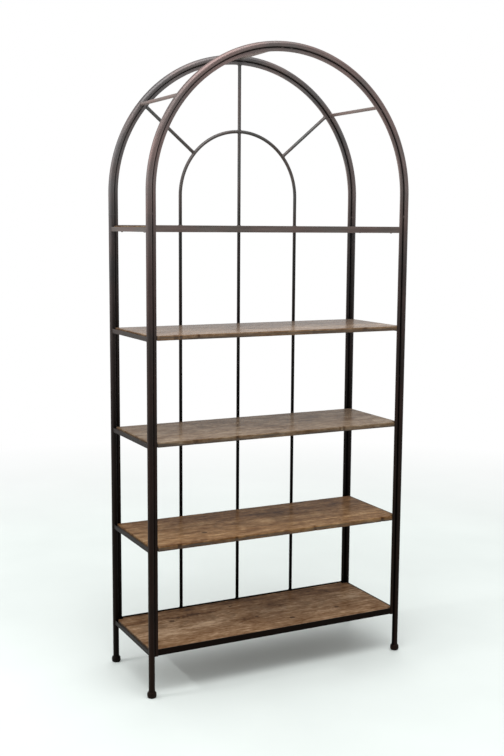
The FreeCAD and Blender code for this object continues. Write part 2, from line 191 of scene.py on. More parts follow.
woodLook = {
    "grain": {  # length, width, the noise's detail and its weight in the tone
        "streak": (150 * mm, 10 * mm, 4, 1.1), "blotch": (80 * mm, 34 * mm, 6, 1.4),
        "fibre": (70 * mm, 2.4 * mm, 4, 0.6),  # coarser than real fibres, so that they show
        "mottle": (22 * mm, 11 * mm, 3, 1.1),  # patches where sanding went through the stain
    },
    "noiseRoughness": 0.6,
    "toneEnds": (1.5, 2.75),  # the weighted sum at the darkest and the palest tone
    "tones": [(0.0, "#452f1b"), (0.3, "#6d5036"), (0.62, "#8d735a"), (1.0, "#b69e86")],
    "ringSpacing": 6 * mm,  # real ones are 2 to 4 mm apart, too fine to show
    "latewood": (0.55, 0.9, 1.06, 0.86),  # the part of a ring that darkens, and its tones
    "knot": "#33200f", "knotFray": 5 * mm, "knotEdge": (3.4 * mm, 1.4 * mm, 0, 0.8), "holeCell": 75 * mm,
    "holeRadius": 1.2 * mm,
    "holeFade": 1.5,  # where a nail hole's rim ends, in radii
    # the colour and streaky spread of grime on the top's edges and painted shade down the sides
    "holeShare": 0.9, "grimeAndShadeColour": "#4b423b", "grimeAndShadeStreaks": (0.42, 0.62, 0.3, 0.9),
    "waxWeight": 1.0,  # of the wax's shine at a grazing view
    "waxPower": 7.5,  # by which the shine falls away from that view
    "finish": {
        "Roughness": 0.6, "Specular IOR Level": 0, "Coat Roughness": 0.24,
        "Sheen Weight": 0.12, "Sheen Roughness": 0.3,  # a haze of dust and raised fibre
    },
    "relief": {"Strength": 0.4, "Distance": 0.2 * mm},
}


# Reclaimed pine, sawn, sanded, stained and waxed: a dusty brown, streaked, blotched and mottled along the
# grain, with faint rings, dark knots, nail holes, grime along the top's edges and painted shade down the
# sides, and a wax and a haze of dust that show at a grazing view
def reclaimedPine(name, tint):
    look = woodLook
    material, add = emptyTree(bpy.data.materials.new(name))
    timber = add("Attribute", {"attribute_name": "timber"}).outputs["Vector"]
    ring, knotGap, rim, tone = (
        add("Attribute", {"attribute_name": label}).outputs["Fac"]
        for label in ("ring", "knotGap", "rim", "stain")
    )
    grain = {}
    for kind, (long, wide, detail, weight) in look["grain"].items():
        along = add("Mapping", {"Scale": (1 / long, 1 / wide, 1 / wide)}, {"Vector": timber})
        noise = {"Scale": 1, "Detail": detail, "Roughness": look["noiseRoughness"]}
        grain[kind] = add("TexNoise", noise, {"Vector": along})
        tone = add("Math", {"operation": "MULTIPLY_ADD", 1: weight}, {0: grain[kind], 2: tone})
    tone = add("MapRange", look["toneEnds"], {0: tone})
    stops = [(position, linearColour(code)) for position, code in look["tones"]]
    colour = add("ValToRGB", {"stops": stops}, {"Fac": tone})
    rings = add("Math", {"operation": "DIVIDE", 1: look["ringSpacing"]}, {0: ring})
    rings = add("Math", {"operation": "ADD"}, {0: grain["streak"], 1: rings})
    rings = add("Math", {"operation": "FRACT"}, {0: rings})
    latewood = add("MapRange", look["latewood"], {0: rings})
    colour = add("Mix", multiply, {6: colour, 7: latewood})
    # each board's tint: partly its own tone, partly painted reflection of the pale room at a grazing view and
    # painted light
    colour = add("Mix", {**multiply, 7: linearColour(tint)}, {6: colour})
    fray = {"operation": "MULTIPLY_ADD", 1: look["knotFray"]}
    knots = add("Math", fray, {0: grain["fibre"], 2: knotGap})
    knots = add("MapRange", look["knotEdge"], {0: knots})
    holes = add("TexVoronoi", {"Scale": 1 / look["holeCell"]}, {"Vector": timber})
    holeSize = look["holeRadius"] / look["holeCell"]
    holeEnds = (holeSize * look["holeFade"], holeSize, 0, look["holeShare"])
    holes = add("MapRange", holeEnds, {0: holes})
    dark = add("Math", larger, {0: knots, 1: holes})
    # grime on the top's edges and painted shade down the sides, streaked
    grimeAndShade = add("MapRange", look["grimeAndShadeStreaks"], {0: grain["streak"]})
    grimeAndShade = add("Math", product, {0: grimeAndShade, 1: rim})
    for share, code in ((dark, look["knot"]), (grimeAndShade, look["grimeAndShadeColour"])):
        colour = add("Mix", {**blend, 7: linearColour(code)}, {0: share, 6: colour})
    bump = add("Bump", look["relief"], {"Height": grain["fibre"]})
    facing = add("LayerWeight", {"Blend": 0.5}).outputs["Facing"]
    wax = add("Math", {"operation": "POWER", 1: look["waxPower"]}, {0: facing})
    wax = add("Math", {"operation": "MULTIPLY", 1: look["waxWeight"]}, {0: wax})
    patterns = {"Base Color": colour, "Coat Weight": wax, "Normal": bump}
    shader = add("BsdfPrincipled", look["finish"], patterns)
    add("OutputMaterial", {}, {"Surface": shader})
    return material


iron = {name: patinatedIron(name) for name in ("front", "back", "rod", "rail")}
print("iron materials made")


# Smooth noise along a line: the mean of sines of the given lengths with random phases, from -1 to 1
def wobble(distance, lengths, seed):
    phases = np.random.default_rng(seed).uniform(0, 2 * np.pi, len(lengths))
    waves = (np.sin(2 * np.pi * distance / length + turn) for length, turn in zip(lengths, phases))
    return sum(waves) / len(lengths)


# A bell curve: 1 at the middle, falling as exp of -(distance over width) to a power
def bell(distance, width, power=2):
    return np.exp(-((distance / width) ** power))


# Points from their three coordinates, each a number or an array
def pointsAt(x, y, z):
    return np.stack(np.broadcast_arrays(x, y, z), axis=-1)


# Half a circle's chord: the root of (radius squared - offset squared), or 0 beside the circle
def halfChord(radius, offset):
    return np.sqrt(np.clip(radius**2 - offset**2, 0, None))


# Lengths of the steps from point to point of a line
def stepLengths(points):
    return np.linalg.norm(np.diff(points, axis=0), axis=-1)


# Points of a circle: radius times the cosine and sine of even angles
def circleProfile(radius, count):
    angle = np.linspace(0, 2 * np.pi, count, endpoint=False)
    return radius * np.stack([np.cos(angle), np.sin(angle)], axis=1)


# The same for part of a circle, from one angle to another in degrees
def arcPoints(centre, radius, start, end, count):
    angle = np.radians(np.linspace(start, end, count))
    return np.array(centre) + radius * np.stack([np.cos(angle), np.sin(angle)], axis=1)


# A profile carried along a path: each point is the path's + first * sideways + second * upwards
def carry(profile, centres, sideways, upwards=backward):
    profile = np.broadcast_to(profile, (len(centres), *np.shape(profile)[-2:]))
    sideways, upwards = (np.broadcast_to(way, centres.shape)[:, None] for way in (sideways, upwards))
    return centres[:, None] + profile[..., :1] * sideways + profile[..., 1:] * upwards


# A profile of radius and height turned round an upright axis
def turnedPoints(profile, place, count):
    ring = circleProfile(1, count)
    x, y = (place[axis] + profile[:, :1] * ring[:, axis] for axis in (0, 1))
    return pointsAt(x, y, place[2] + profile[:, 1:])


# Faces of a grid of points, each a square between neighbours, with the distance round the columns and along
# the rows at its corners; the columns wrap, and so may the rows
def gridFaces(points, closed):
    rowCount, columnCount = points.shape[:2]
    squareCount = (rowCount if closed else rowCount - 1) * columnCount
    row, column = np.divmod(np.arange(squareCount)[:, None], columnCount)
    row, column = row + [0, 0, 1, 1], column + [0, 1, 1, 0]
    along = np.append(0, np.cumsum(stepLengths(points).mean(axis=1)))
    ring = points[rowCount // 2]
    around = np.append(0, np.cumsum(stepLengths(np.concatenate([ring, ring[:1]]))))
    flow = np.stack([around[column], along[np.minimum(row, rowCount - 1)]], axis=2)
    return row % rowCount * columnCount + column % columnCount, flow


# Six times the volume inside squares: the sum of first . ((second - fourth) x third) over their corners
def signedVolume(points, faces):
    first, second, third, fourth = points[faces].swapaxes(0, 1)
    return (first * np.cross(second - fourth, third)).sum()


# Puts grids into one mesh, with the distances as the map "flow" and a face in each open end, all facing out
def buildPiece(name, grids, material, nodes=(), smoothAngle=35):
    points, faces, flows = [], [], []
    layers = {"wear": [], "crevice": []}
    offset = 0
    for grid in grids:
        rowCount, columnCount = grid["points"].shape[:2]
        closed = grid.get("closed", False)
        flat = grid["points"].reshape(-1, 3)
        quads, flow = gridFaces(grid["points"], closed)
        turned = signedVolume(flat - flat.mean(axis=0), quads) < 0
        if turned:
            quads, flow = quads[:, ::-1], flow[:, ::-1]
        faces += (quads + offset).tolist()
        flows.append(flow.reshape(-1, 2))
        if not closed:
            first = np.arange(columnCount) + offset
            last = first + (rowCount - 1) * columnCount
            ends = (first, last[::-1]) if turned else (first[::-1], last)
            faces += [end.tolist() for end in ends]
            flows.append(np.zeros((2 * columnCount, 2)))
        points.append(flat)
        for label, values in layers.items():
            values.append(np.broadcast_to(grid.get(label, 0.0), (rowCount, columnCount)).ravel())
        offset += len(flat)
    layers = {label: np.concatenate(values) for label, values in layers.items()}
    points, flow = np.concatenate(points), np.concatenate(flows)
    return finishPiece(name, points, faces, layers, material, nodes, smoothAngle, flow)


# Makes a piece's mesh and object, with a number or vector for each point in layers, smooth but for its sharp
# edges, and ties it to the frame
def finishPiece(name, points, faces, layers, material, nodes, smoothAngle, flow=None):
    mesh = bpy.data.meshes.new(name)
    mesh.from_pydata(points.tolist(), [], faces)
    if flow is not None:
        mesh.uv_layers.new(name="flow").data.foreach_set("uv", flow.astype(np.float32).ravel())
    for label, values in layers.items():
        kind, field = ("FLOAT", "value") if values.ndim == 1 else ("FLOAT_VECTOR", "vector")
        mesh.attributes.new(label, kind, "POINT").data.foreach_set(field, values.astype(np.float32).ravel())
    mesh.polygons.foreach_set("use_smooth", np.ones(len(mesh.polygons), bool))
    mesh.set_sharp_from_angle(angle=np.radians(smoothAngle))
    mesh.materials.append(material)
    mesh.validate()
    piece = addObject(name, mesh)
    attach(piece, "root")
    if nodes:
        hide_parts(*nodes)
    return piece


# A half arch's centre line: straight up from the weld to the spring, then a quarter circle to the top, as
# points at even steps with the outward direction at each
def archLine(side, row, radius):
    stilt = springHeight - archFoot
    along = np.linspace(0, stilt + radius * np.pi / 2, tubeLook["archSteps"])
    turn = np.clip((along - stilt) / radius, 0, None)
    outward = pointsAt(side * np.cos(turn), 0, np.sin(turn))
    return pointsAt(0, row * halfDepth, archFoot + np.minimum(along, stilt)) + radius * outward, outward


# A post's centre line from one height to another, with the outward direction at each point
def uprightLine(side, row, radius, low):
    heights = np.linspace(low, archFoot, tubeLook["postSteps"])
    return pointsAt(side * radius, row * halfDepth, heights), pointsAt(float(side), 0, 0 * heights)


tubeLook = {
    "wall": 2 * mm, "columns": 40, "archSteps": 96, "postSteps": 48, "ripple": 0.12 * mm,
    "rippleLengths": (0.31, 0.13, 0.057),  # metres
    "grooveShadeEdge": (0.85, 0.35),  # where the painted shade ends off the middle, and its fade, in radii
}


# A hollow tube: circles out along the wall's outer face and back along its inner face, in one loop, with
# drawn tube's ripple of the radius, and painted shade on the side that faces the bar
def tubeGrid(centres, outward, seed):
    look, steps = tubeLook, len(centres)
    there = np.concatenate([centres, centres[::-1]])
    distance = np.linspace(0, 1, steps) * stepLengths(centres).sum()
    ripple = look["ripple"] * (wobble(distance, look["rippleLengths"], seed) - 1) / 2
    ripple[[0, -1]] = 0
    radius = np.concatenate([tubeRadius + ripple, np.full(steps, tubeRadius - look["wall"])])
    ring = circleProfile(1, look["columns"])
    edge, fade = look["grooveShadeEdge"]
    darkBand = np.clip((edge - np.abs(ring[:, 1])) / fade, 0, 1) * (ring[:, 0] < 0)
    points = carry(ring * radius[:, None, None], there, np.concatenate([outward, outward[::-1]]))
    return {"points": points, "closed": True, "crevice": darkBand}


barLook = {
    "corner": 0.9 * mm, "cornerSteps": 4, "faceSteps": 4,
    "rootDepth": 0.6 * mm,  # of the weld's root: the bar reaches this far into the tube's wall
    "wearOnCorner": 1.0, "wearOnFace": 0.05,
    "grooveShadeDepth": 2.5 * mm,  # over which the painted shade thickens towards the tube
}


# A flat bar: a rectangle with rounded corners and lines down each face, rubbed on its inner corners, with
# painted shade on its side towards the tube
def barGrid(centres, outward):
    look = barLook
    root, corner, darkBand = look["rootDepth"], look["corner"], look["grooveShadeDepth"]
    halfWide, halfThick = (barOutside + root - barInside) / 2 - corner, barWidth / 2 - corner
    quarters = [
        arcPoints((across * halfWide, up * halfThick), corner, start, start + 90, look["cornerSteps"])
        for across, up, start in ((1, 1, 0), (-1, 1, 90), (-1, -1, 180), (1, -1, 270))
    ]
    profile = []
    for quarter, following in zip(quarters, quarters[1:] + quarters[:1]):
        profile += [quarter, np.linspace(quarter[-1], following[0], look["faceSteps"] + 1)[1:-1]]
    profile = np.concatenate(profile)
    wear = np.where(profile[:, 0] < -halfWide, look["wearOnCorner"], look["wearOnFace"])
    crevice = np.clip((profile[:, 0] - darkBand) / darkBand, 0, 1)
    profile[:, 0] += root / 2
    return {"points": carry(profile, centres, outward), "wear": wear, "crevice": crevice}


barMiddle = (barOutside + barInside) / 2
for index, (rowName, row, sideName, side) in enumerate(corners):
    tubes = uprightLine(side, row, halfSpan, footTop), archLine(side, row, halfSpan)
    bars = uprightLine(side, row, barMiddle, barBottom), archLine(side, row, barMiddle)
    names = [f"{rowName}_{sideName}_{part}" for part in ("post", "arch")]
    for order, name in enumerate(names):
        buildPiece(f"{name}Tube", [tubeGrid(*tubes[order], 2 + 2 * index + order)], iron[rowName], [name])
    for name, line in zip(names, bars):
        buildPiece(f"{name}Flat", [barGrid(*line)], iron[rowName], [f"{name}_bar"])
print("posts and arches made")

footLook = {
    "baseRadius": 12.5 * mm,
    "edge": 1 * mm,  # rounding of the base and the spigot
    "widestRadius": 16 * mm, "widestHeight": 9.6 * mm, "neckRadius": 11.1 * mm, "spigotRadius": 8.5 * mm,
    "spigotLength": 14 * mm, "baseTurn": (-90, -35, 5), "swellSteps": 21, "columns": 48, "wear": 0.2,
}


# A turned bun foot: a profile of radius and height, closed on the axis at both ends. The bun and the shoulder
# above it are a quarter of an ellipse each.
def footGrid(side, row):
    look = footLook
    edge, widest, neck, spigot = (look[key] for key in ("edge", "widestRadius", "neckRadius", "spigotRadius"))
    middle, top = look["widestHeight"], footTop + look["spigotLength"]
    base = arcPoints((look["baseRadius"] - edge, edge), edge, *look["baseTurn"])
    baseRadius, baseHeight = base[-1]
    turn = np.pi * np.linspace(0, 1, look["swellSteps"] + 1)[1:] / 2
    sine, cosine = np.sin(turn), np.cos(turn)
    bun = [baseRadius + (widest - baseRadius) * sine, baseHeight + (middle - baseHeight) * (1 - cosine)]
    shoulder = [neck + (widest - neck) * cosine, middle + (footTop - middle) * sine]
    stem = [(spigot, footTop), (spigot, top - edge), (spigot - edge, top), (poleRadius, top)]
    profile = np.concatenate([[(poleRadius, 0)], base, np.hstack([bun, shoulder]).T, stem])
    points = turnedPoints(profile, (side * halfSpan, row * halfDepth, 0), look["columns"])
    return {"points": points, "wear": look["wear"]}


for rowName, row, sideName, side in corners:
    name = f"{rowName}_{sideName}_foot"
    buildPiece(f"{name}_bun", [footGrid(side, row)], iron[rowName], [name], 50)
print("feet made")

angleLook = {
    "thickness": 3 * mm, "root": 2.5 * mm, "toe": 1 * mm, "heel": 0.6 * mm, "pointSpacing": 1.2 * mm,
    "rubbed": (1, 1, 0.8, 0, 1, 1),  # heel, flat leg's end and toe, root, upright leg's toe and end
    "arcSteps": (4, 4, 6),  # of the heel, toes and root
    "steps": 26, "endInset": 7.5 * mm,
    "wearLengths": (0.37, 0.21, 0.11),  # as shares of the rail
    "wearDip": 0.25,
}


# Angle iron's section, heel at the origin with one leg along and one up: straight stretches between the arcs
# of the heel, toes and root, with how rubbed each point is
def angleProfile(width, height):
    look = angleLook
    thick, root, toe, heel = (look[key] for key in ("thickness", "root", "toe", "heel"))
    heelSteps, toeSteps, rootSteps = look["arcSteps"]
    arcs = [
        arcPoints((heel, heel), heel, 180, 270, heelSteps),
        np.array([(width, 0)]),
        arcPoints((width - toe, thick - toe), toe, 0, 90, toeSteps),
        arcPoints((thick + root, thick + root), root, 270, 180, rootSteps),
        arcPoints((thick - toe, height - toe), toe, 0, 90, toeSteps),
        np.array([(0, height)]),
    ]
    points, wear = [], []
    for arc, following, rub in zip(arcs, arcs[1:] + arcs[:1], look["rubbed"]):
        run = following[0] - arc[-1]
        count = max(2, int(np.linalg.norm(run) / look["pointSpacing"]))
        share = np.linspace(0, 1, count, endpoint=False)[1:, None]
        points += [arc, arc[-1] + share * run]
        wear += [np.full(len(arc), float(rub)), np.zeros(len(share))]
    return np.concatenate(points), np.concatenate(wear)


# A rail's box, section and wear
def railParts(name, axis):
    low, high = nodeBox(name)
    return low, high, *angleProfile(high[axis] - low[axis], high[2] - low[2])


# Makes a rail of its points; its wear wobbles along it
def buildRail(name, points, wear, seed):
    run, dip = np.linspace(0, 1, len(points)), angleLook["wearDip"]
    wear = wear * ((1 - dip) + dip * wobble(run, angleLook["wearLengths"], seed)[:, None])
    buildPiece(f"{name}_angle", [{"points": points, "wear": wear}], iron["rail"], [name])


# The front or back of a frame: angle iron carried along X between the bars
for level in ("top", "bottom"):
    for rowName, row in rows.items():
        name = f"{level}_{rowName}_rail"
        low, high, profile, wear = railParts(name, 1)
        reach = np.linspace(low[0], high[0], angleLook["steps"])
        points = carry(profile, pointsAt(reach, row * frontFace, low[2]), -row * backward, (0, 0, 1))
        buildRail(name, points, wear, len(name))

# Side rails: carried along Y, each line of the section ending at the cope round the posts, half the depth
# less half the chord of the cope's circle there
for level in shelves:
    for sideName, side in sides.items():
        name = f"{level}_{sideName}_rail"
        low, high, profile, wear = railParts(name, 0)
        across = sideFace - profile[:, 0]
        reach = halfDepth - np.maximum(halfChord(copeRadius, across - halfSpan), angleLook["endInset"])
        share = np.linspace(-1, 1, angleLook["steps"])[:, None]
        points = pointsAt(side * across, share * reach, low[2] + profile[:, 1])
        buildRail(name, points, wear, len(name) + side)
print("rails made")

rodLook = {
    "columns": 28, "steps": 40, "archSteps": 90,
    "spokeAngles": {"left": -50, "centre": 0, "right": 50},  # from straight up
    "strutAngles": {"left": -51, "centre": 0, "right": 51},
}


# A round rod along a direction, its ends cut to the rods or tubes that it meets: an end stops half a chord of
# the other's circle short of its axis, or at it where the radius is 0 and it stands on something flat
def copedRod(start, direction, length, acrossBoth, radii):
    ring = circleProfile(rodRadius, rodLook["columns"])
    near, far = (halfChord(radius, ring[:, 0]) for radius in radii)
    share = np.linspace(0, 1, rodLook["steps"])[:, None]
    reach = near * (1 - share) + (length - far) * share
    centre = start + reach[..., None] * direction
    return {"points": centre + ring[:, :1] * acrossBoth + ring[:, 1:] * np.cross(direction, acrossBoth)}


# The direction in the arches' plane at an angle from straight up, in degrees
def fanDirection(angle):
    return pointsAt(np.sin(np.radians(angle)), 0, np.cos(np.radians(angle)))


def buildRod(name, grid, material):
    buildPiece(f"{name}_bar", [grid], material, [name])


upward = np.array([0, 0, 1.0])
fanCentre = np.array([0, halfDepth, springHeight])
rodCope = rodRadius + weldGap
for index, (name, spokeAngle) in enumerate(rodLook["spokeAngles"].items()):
    low, high = nodeBox(f"{name}_back_rod")
    foot = ((index - 1) * innerRadius, halfDepth, low[2])
    buildRod(f"{name}_back_rod", copedRod(foot, upward, high[2] - low[2], (1, 0, 0), (0, 0)), iron["rod"])
    direction = fanDirection(spokeAngle)
    start, length = fanCentre + innerRadius * direction, barInside - weldGap - innerRadius
    buildRod(f"{name}_spoke", copedRod(start, direction, length, backward, (rodCope, 0)), iron["rod"])
    direction = fanDirection(rodLook["strutAngles"][name])
    onArch = np.array([0, -halfDepth, springHeight]) + halfSpan * direction
    strut = copedRod(onArch, backward, 2 * halfDepth, direction, (copeRadius, copeRadius))
    buildRod("top_strut" if name == "centre" else f"{name}_strut", strut, iron["rail"])
apexReach = springHeight + innerRadius - topFrameTop
archUpright = copedRod((0, halfDepth, topFrameTop), upward, apexReach, backward, (0, rodCope))
buildRod("centre_arch_rod", archUpright, iron["rod"])


# The small arch's line: up one leg, round a half circle and down the other
def innerArchLine():
    leg = springHeight - topFrameTop
    along = np.linspace(0, 2 * leg + np.pi * innerRadius, rodLook["archSteps"])
    turn = np.clip((along - leg) / innerRadius, 0, np.pi)
    outward = pointsAt(-np.cos(turn), 0, np.sin(turn))
    centres = fanCentre + innerRadius * outward
    centres[:, 2] -= leg - np.minimum(along, leg) + np.clip(along - leg - np.pi * innerRadius, 0, None)
    return centres, outward


innerArch = carry(circleProfile(rodRadius, rodLook["columns"]), *innerArchLine())
buildPiece("inner_arch_rod_bend", [{"points": innerArch}], iron["rod"], ["inner_arch_rod"])
print("rods and struts made")

beadLook = {
    "radius": 1.5 * mm, "columns": 10, "saddleSteps": 48, "collarSteps": 40,
    "stand": 0.3 * mm,  # of its middle off the rod
    "lift": 0.4 * mm,  # of a collar off the flat steel
    "ripplePitch": 2.6 * mm, "ripple": 0.16,
    "tip": (1.03, 4, 0.15),  # an open end is this less the way out to a power, and at least so much
    "wear": 0.5,
}


# A weld bead: a small circle, rippled like a run of drops, carried along a line, tapered at open ends
def beadGrid(line, closed, radius=beadLook["radius"]):
    look = beadLook
    tangent = np.roll(line, -1, axis=0) - np.roll(line, 1, axis=0) if closed else np.gradient(line, axis=0)
    tangent /= np.linalg.norm(tangent, axis=1)[:, None]
    beside = np.cross(tangent, np.eye(3)[np.argmin(np.ptp(line, axis=0))])
    beside /= np.linalg.norm(beside, axis=1)[:, None]
    share = np.linspace(0, 1, len(line))
    swell = 1 + look["ripple"] * np.sin(2 * np.pi * share * stepLengths(line).sum() / look["ripplePitch"])
    if not closed:
        full, power, least = look["tip"]
        swell = swell * np.clip(full - np.abs(2 * share - 1) ** power, least, 1)
    profile = circleProfile(radius, look["columns"]) * swell[:, None, None]
    points = carry(profile, line, beside, np.cross(beside, tangent))
    return {"points": points, "closed": closed, "wear": look["wear"]}


# The line where a round rod meets a round bar or tube square on: round the rod, half a chord of the bar's
# circle away from its axis
def saddleLine(centre, direction, acrossBoth, barRadius, count=beadLook["saddleSteps"]):
    ring = circleProfile(rodRadius + beadLook["stand"], count)
    flat = ring[:, :1] * acrossBoth + ring[:, 1:] * np.cross(direction, acrossBoth)
    return centre + halfChord(barRadius, ring[:, :1]) * direction + flat


# A circle round a rod, where it stands on something flat
def collarLine(centre, direction):
    return saddleLine(centre, direction, backward, 0, beadLook["collarSteps"])


lift = beadLook["lift"]
fanLines = [saddleLine((0, halfDepth, springHeight + innerRadius), -upward, backward, rodRadius)]
for direction in map(fanDirection, rodLook["spokeAngles"].values()):
    fanLines.append(saddleLine(fanCentre + innerRadius * direction, direction, backward, rodRadius))
    fanLines.append(collarLine(fanCentre + (barInside - lift) * direction, direction))
for x in (-innerRadius, 0, innerRadius):
    for height in (bottomFrameTop + lift, topFrameLow - lift, topFrameTop + lift):
        fanLines.append(collarLine((x, halfDepth, height), upward))
buildPiece("fan_weld_beads", [beadGrid(line, True) for line in fanLines], iron["rod"])

for rowName, row in rows.items():
    strutBeads = []
    for direction in map(fanDirection, rodLook["strutAngles"].values()):
        onArch = np.array([0, row * halfDepth, springHeight]) + halfSpan * direction
        strutBeads.append(beadGrid(saddleLine(onArch, -row * backward, direction, tubeRadius), True))
    buildPiece(f"{rowName}_strut_weld_beads", strutBeads, iron[rowName])

railBeadLook = {
    "steps": 30,
    "inset": 1 * mm,  # of a bead's ends from the rail's edges
    "gap": 0.2 * mm,  # of its middle from the steel
    "frontDepth": 1.1 * mm,  # behind the front rail's face
    "frontRadius": 1.1 * mm,
    "sideDepth": 1.3 * mm,  # behind the side rail's face
    "sideRadius": 1.2 * mm,
    "underHeight": 0.9 * mm,  # above the side rail's underside
    "underRadius": 1.1 * mm,
    "underAngles": (20, 150),  # round the post
}


# Short beads up the frame rails' ends, and up and round the side rails' copes
def buildRailBeads():
    look, beads = railBeadLook, []
    inset, gap, steps = look["inset"], look["gap"], look["steps"]
    for level in ("top", "bottom"):
        low, high = nodeBox(f"{level}_front_rail")
        heights = np.linspace(low[2] + inset, high[2] - inset, steps)
        for _, row, _, side in corners:
            line = pointsAt(side * (barInside - gap), row * (frontFace - look["frontDepth"]), heights)
            beads.append(beadGrid(line, False, look["frontRadius"]))
    outside = sideFace - look["sideDepth"]
    reach = halfDepth - halfChord(copeRadius, outside - halfSpan) - gap
    turn = np.radians(np.linspace(*look["underAngles"], steps))
    x, y = halfSpan + tubeRadius * np.cos(turn), halfDepth - tubeRadius * np.sin(turn)
    for level in shelves:
        low, high = nodeBox(f"{level}_left_rail")
        heights = np.linspace(low[2] + inset, high[2] - inset, steps)
        for _, row, _, side in corners:
            beads.append(beadGrid(pointsAt(side * outside, row * reach, heights), False, look["sideRadius"]))
            under = pointsAt(side * x, row * y, low[2] + look["underHeight"])
            beads.append(beadGrid(under, False, look["underRadius"]))
    buildPiece("rail_weld_beads", beads, iron["rail"])


buildRailBeads()

stitchLook = {
    "postHeights": (0.32, 1.04),  # metres
    "archAngles": (38, 88),  # above the spring
    "length": 11 * mm, "steps": 16, "radius": 0.9 * mm,
    "grooveDepth": 0.6 * mm,  # of a stitch's middle outside the bar
    "sink": 0.3 * mm,  # of its middle inside the bar's face
    "seamSteps": 48, "seamRadius": 0.7 * mm,
    "seamSinks": (0.35 * mm, 0.7 * mm),  # of a seam's middle in the tube, on the posts and at the top
}


# Stitch welds in the groove between tube and bar, and ground seams at the arches' ends
def buildStitches(rowName, row):
    look, beads = stitchLook, []
    half, steps = look["length"] / 2, look["steps"]
    radius = barOutside + look["grooveDepth"]
    postSeam, topSeam = (circleProfile(tubeRadius - sink, look["seamSteps"]) for sink in look["seamSinks"])
    for side in sides.values():
        for face in (-1, 1):
            y = row * halfDepth + face * (barWidth / 2 - look["sink"])
            for height in (*look["postHeights"], archFoot):
                line = pointsAt(side * radius, y, np.linspace(height - half, height + half, steps))
                beads.append(beadGrid(line, False, look["radius"]))
            for angle in look["archAngles"]:
                turn = np.radians(angle) + np.linspace(-half, half, steps) / radius
                line = pointsAt(side * radius * np.cos(turn), y, springHeight + radius * np.sin(turn))
                beads.append(beadGrid(line, False, look["radius"]))
        line = pointsAt(side * halfSpan + postSeam[:, 0], row * halfDepth + postSeam[:, 1], archFoot)
        beads.append(beadGrid(line, True, look["seamRadius"]))
    line = pointsAt(0, row * halfDepth + topSeam[:, 0], springHeight + halfSpan + topSeam[:, 1])
    beads.append(beadGrid(line, True, look["seamRadius"]))
    buildPiece(f"{rowName}_stitch_welds", beads, iron[rowName])


for rowName, row in rows.items():
    buildStitches(rowName, row)
print("weld beads made")

boardLook = {
    "cell": 4.5 * mm, "rimSteps": np.array([0.25, 0.6, 1.1, 1.8, 2.8]) * mm,
    "rimClear": 1.6,  # how far even cells keep off the last of those steps, in its length
    "notchGap": 3 * mm,
    "arris": (1.4 * mm, 3.0 * mm),  # least and most rounding of the top edges
    "arrisLengths": (0.23, 0.083, 0.037),  # metres
    "underArris": 0.6 * mm, "wallLayers": 5, "wave": 0.3 * mm,
    "waveLengths": ((0.45, 0.19), (0.21, 0.12)),  # along and across
    "skews": (1.7, 0.4),  # of the arris' and the wave's swells, across over along
    "jointDepth": 0.4 * mm, "jointWidth": 0.7 * mm, "edgeWear": 0.25 * mm,
    "edgeLengths": (0.31, 0.12, 0.045, 0.021),
    "dentReach": 5 * mm,  # how fast a dent fades behind the edge
    "dentDrop": 0.5,  # how far the top sinks with it
    "dentTone": 0.5,  # how much darker a dent is for each mm of its depth
    "dentToneReach": 4 * mm, "rimWidth": 3.5 * mm,
    "rimSoil": 0.35,  # grime of the top beside its edges, where the painted shade on the sides has up to 1.5
    "sideShade": (1.5 * mm, 3.5 * mm, 0.5),  # painted shade down the sides: where it starts below the top, its fade, and what the foot adds
}
